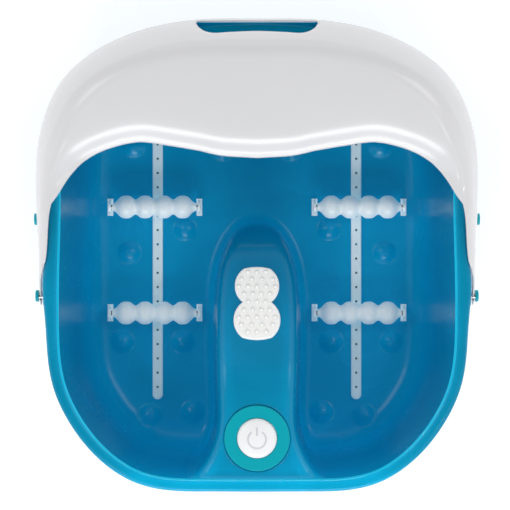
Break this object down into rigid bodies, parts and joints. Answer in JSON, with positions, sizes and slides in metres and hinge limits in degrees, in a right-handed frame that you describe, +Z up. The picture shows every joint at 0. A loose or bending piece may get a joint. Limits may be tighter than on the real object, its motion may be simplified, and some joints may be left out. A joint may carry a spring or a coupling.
{
  "type": "pedicure foot bath",
  "caption": "Bubbling foot bath: blue tub with centre console, massage rollers, bubble strips, domed pad, power button and a white hood that swings up as a carry handle.",
  "frame": {"origin": "centre of the bath on the ground plane, at the undersides of the rubber feet", "axes": "+Z up, -Y towards the seated user (front, power button), +X to the user's right"},
  "size_m": [0.3776, 0.3998, 0.195],
  "materials": {
    "blue_tub": "glossy translucent blue moulded plastic",
    "blue_shell": "glossy translucent blue moulded plastic",
    "dark_rubber": "matt",
    "grey_plastic": "satin moulded",
    "steel": "zinc plated",
    "white_plastic": "satin white moulded",
    "black_plastic": "matt moulded",
    "clear_hose": "soft translucent tube",
    "magnet": "sintered ferrite",
    "copper": "copper windings on a laminated core",
    "aluminium": "rolled",
    "cord": "smooth white cord",
    "brass": "drawn",
    "wire": "insulated wire",
    "turquoise": "satin turquoise moulded",
    "button_white": "satin white moulded",
    "pad_white": "soft white elastomer",
    "hood_white": "glossy white moulded"
  },
  "bodies": {
    "base": {"tub": "blue_tub", "outer_shell": "blue_shell", "rim_gasket": "dark_rubber", "bottom_cover": "grey_plastic", "rubber_feet": "dark_rubber", "cover_screws": "steel", "roller_axles": "steel", "roller_brackets": "white_plastic", "bubble_strip_left": "white_plastic", "bubble_strip_right": "white_plastic", "air_manifold": "black_plastic", "check_valve": "white_plastic", "air_hose": "clear_hose", "hose_clamps": "steel", "blower_housing": "black_plastic", "blower_cover": "black_plastic", "blower_screws": "steel", "motor_can": "steel", "motor_magnets": "magnet", "motor_grommet": "dark_rubber", "heater_plates": "aluminium", "thermostat": "aluminium", "thermal_fuse": "aluminium", "switch_bracket": "steel", "bracket_screws": "steel", "switch_body": "black_plastic", "terminal_block": "white_plastic", "power_cord": "cord", "strain_relief": "cord", "power_plug": "cord", "plug_pins": "brass", "wiring_harness": "wire", "button_seal": "dark_rubber", "button_ring": "turquoise", "button_spring": "steel", "massage_pad": "pad_white", "pivot_pins": "steel", "pivot_caps": "turquoise"},
    "hood_body": {"hood": "hood_white"},
    "power_button_body": {"power_button": "button_white", "button_plunger": "black_plastic"},
    "latch_left_body": {"latch_button_left": "turquoise"},
    "latch_right_body": {"latch_button_right": "turquoise"},
    "roller_rear_left_body": {"roller_rear_left": "white_plastic"},
    "roller_rear_right_body": {"roller_rear_right": "white_plastic"},
    "roller_front_left_body": {"roller_front_left": "white_plastic"},
    "roller_front_right_body": {"roller_front_right": "white_plastic"},
    "blower_rotor": {"blower_impeller": "white_plastic", "motor_shaft": "steel", "motor_armature": "copper"}
  },
  "joints": [
    {"name": "hood_pivot", "type": "hinge", "parent": "base", "child": "hood_body", "pos_m": [0, -0.035, 0.139], "axis": [1, 0, 0], "range_deg": [0, 90]},
    {"name": "power_button_press", "type": "slide", "parent": "base", "child": "power_button_body", "axis": [0, 0, -1], "range_m": [0, 0.0025], "stiffness_N_per_m": 300, "springref_m": -0.001, "deforming": ["button_spring"]},
    {"name": "latch_left_press", "type": "slide", "parent": "hood_body", "child": "latch_left_body", "axis": [1, 0, 0], "range_m": [0, 0.002]},
    {"name": "latch_right_press", "type": "slide", "parent": "hood_body", "child": "latch_right_body", "axis": [-1, 0, 0], "range_m": [0, 0.002]},
    {"name": "roller_rear_left_spin", "type": "hinge", "parent": "base", "child": "roller_rear_left_body", "pos_m": [-0.0895, 0.0415, 0.05], "axis": [1, 0, 0], "continuous": true},
    {"name": "roller_front_left_spin", "type": "hinge", "parent": "base", "child": "roller_front_left_body", "pos_m": [-0.0895, -0.051, 0.05], "axis": [1, 0, 0], "continuous": true},
    {"name": "roller_rear_right_spin", "type": "hinge", "parent": "base", "child": "roller_rear_right_body", "pos_m": [0.0895, 0.0415, 0.05], "axis": [1, 0, 0], "continuous": true},
    {"name": "roller_front_right_spin", "type": "hinge", "parent": "base", "child": "roller_front_right_body", "pos_m": [0.0895, -0.051, 0.05], "axis": [1, 0, 0], "continuous": true},
    {"name": "blower_spin", "type": "hinge", "parent": "base", "child": "blower_rotor", "pos_m": [0, -0.095, 0.08], "axis": [0, 0, 1], "continuous": true}
  ]
}
